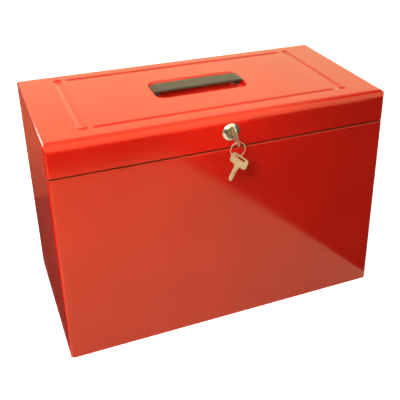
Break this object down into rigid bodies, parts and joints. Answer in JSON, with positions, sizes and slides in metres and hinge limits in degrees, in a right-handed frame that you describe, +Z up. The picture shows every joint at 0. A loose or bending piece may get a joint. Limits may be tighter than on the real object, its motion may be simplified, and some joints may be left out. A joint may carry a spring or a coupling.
{
  "type": "lockable steel file box",
  "caption": "Red gloss-painted steel filing box with hinged lid, lift-up handle in a dished recess, cam lock in the lid's front, and keys on a wire ring.",
  "frame": {"origin": "middle of the underside, on the surface the box stands on", "axes": "+X along the front to the right, -Y out of the front with the lock, +Z up"},
  "size_m": [0.37, 0.2241, 0.2557],
  "materials": {
    "red_paint": "gloss",
    "zinc_rail": "satin",
    "zinc_steel": "satin",
    "nickel_lock": "polished",
    "handle_plastic": "matt",
    "key_metal": "satin",
    "ring_wire": "polished"
  },
  "bodies": {
    "body": {"body_shell": "red_paint", "base_panel": "red_paint", "file_rail_left": "zinc_rail", "file_rail_right": "zinc_rail", "lock_keeper": "zinc_steel", "keeper_stud": "zinc_steel", "hinge_body_leaf_left": "red_paint", "hinge_body_leaf_right": "red_paint", "hinge_pin_left": "zinc_steel", "hinge_pin_right": "zinc_steel"},
    "lid": {"lid_shell": "red_paint", "hinge_lid_leaf_left": "red_paint", "hinge_lid_leaf_right": "red_paint", "lock_housing": "nickel_lock", "lock_washer": "zinc_steel", "lock_nut": "zinc_steel"},
    "handle": {"handle_grip": "handle_plastic", "handle_stop_pins": "zinc_steel"},
    "lock": {"lock_plug": "nickel_lock", "lock_cam": "zinc_steel", "cam_screw": "zinc_steel"},
    "key": {"key_in_lock": "key_metal"},
    "ring": {"key_ring": "ring_wire"},
    "spare_key": {"spare_key": "key_metal"}
  },
  "joints": [
    {"name": "lid_open", "type": "hinge", "parent": "body", "child": "lid", "pos_m": [0, 0.0983, 0.2173], "axis": [-1, 0, 0], "range_deg": [0, 100]},
    {"name": "handle_lift", "type": "slide", "parent": "lid", "child": "handle", "axis": [0, 0, 1], "range_m": [0, 0.015]},
    {"name": "lock_turn", "type": "hinge", "parent": "lid", "child": "lock", "pos_m": [0, -0.095, 0.2351], "axis": [0, 1, 0], "range_deg": [0, 90]},
    {"name": "key_pull", "type": "slide", "parent": "lock", "child": "key", "axis": [0, -1, 0], "range_m": [0, 0.018]},
    {"name": "ring_swing", "type": "hinge", "parent": "key", "child": "ring", "pos_m": [0.00118, -0.1104, 0.22957], "axis": [1, 0, 0], "range_deg": [-30, 10]},
    {"name": "spare_key_swing", "type": "hinge", "parent": "ring", "child": "spare_key", "pos_m": [0.00118, -0.1104, 0.21357], "axis": [1, 0, 0], "range_deg": [-30, 12]}
  ]
}
